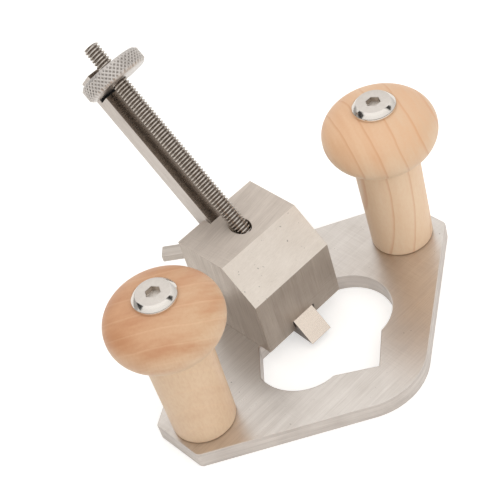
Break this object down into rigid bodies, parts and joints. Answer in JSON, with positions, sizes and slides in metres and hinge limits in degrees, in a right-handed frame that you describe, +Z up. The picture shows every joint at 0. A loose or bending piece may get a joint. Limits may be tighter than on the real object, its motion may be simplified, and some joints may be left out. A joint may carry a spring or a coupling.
{
  "type": "router plane",
  "caption": "Small router plane: pointed steel sole with an open throat, block holding a 45 degree cutter, threaded feed rod with knurled wheel, wing lock screw and turned wooden knobs.",
  "frame": {"origin": "on the sole, under the middle of the cutter block", "axes": "+Z up from the sole, +X from the left knob to the right knob, -Y towards the pointed nose of the sole"},
  "size_m": [0.1516, 0.1438, 0.1076],
  "materials": {
    "brushed_steel": "brushed, warm grey stainless steel",
    "ground_steel": "satin ground tool steel",
    "machined_steel": "bright machined steel",
    "polished_steel": "satin face with a polished bevel",
    "left_maple": "turned and lacquered maple, satin",
    "right_maple": "turned and lacquered maple, satin"
  },
  "bodies": {
    "base": {"sole_plate": "brushed_steel", "cutter_block": "brushed_steel", "block_screws": "machined_steel", "feed_rod": "machined_steel", "left_knob": "left_maple", "right_knob": "right_maple", "left_knob_bolt": "polished_steel", "right_knob_bolt": "polished_steel"},
    "cutter": {"cutter": "ground_steel"},
    "wheel": {"feed_wheel": "machined_steel"},
    "lock": {"lock_screw": "machined_steel"}
  },
  "joints": [
    {"name": "cutter_feed", "type": "slide", "parent": "base", "child": "cutter", "axis": [0, -0.7071, -0.7071], "range_m": [-0.01, 0.055]},
    {"name": "wheel_turn", "type": "hinge", "parent": "cutter", "child": "wheel", "pos_m": [0, 0.0047, 0.0453], "axis": [0, -0.7071, -0.7071], "range_deg": [-2835, 15591]},
    {"name": "lock_turn", "type": "hinge", "parent": "base", "child": "lock", "pos_m": [0, 0.02015, 0.0234], "axis": [0, 1, 0], "range_deg": [0, 360]}
  ],
  "couplings": [
    {"joint": "wheel_turn", "follows": "cutter_feed", "rad_per_m": 4947.4}
  ]
}
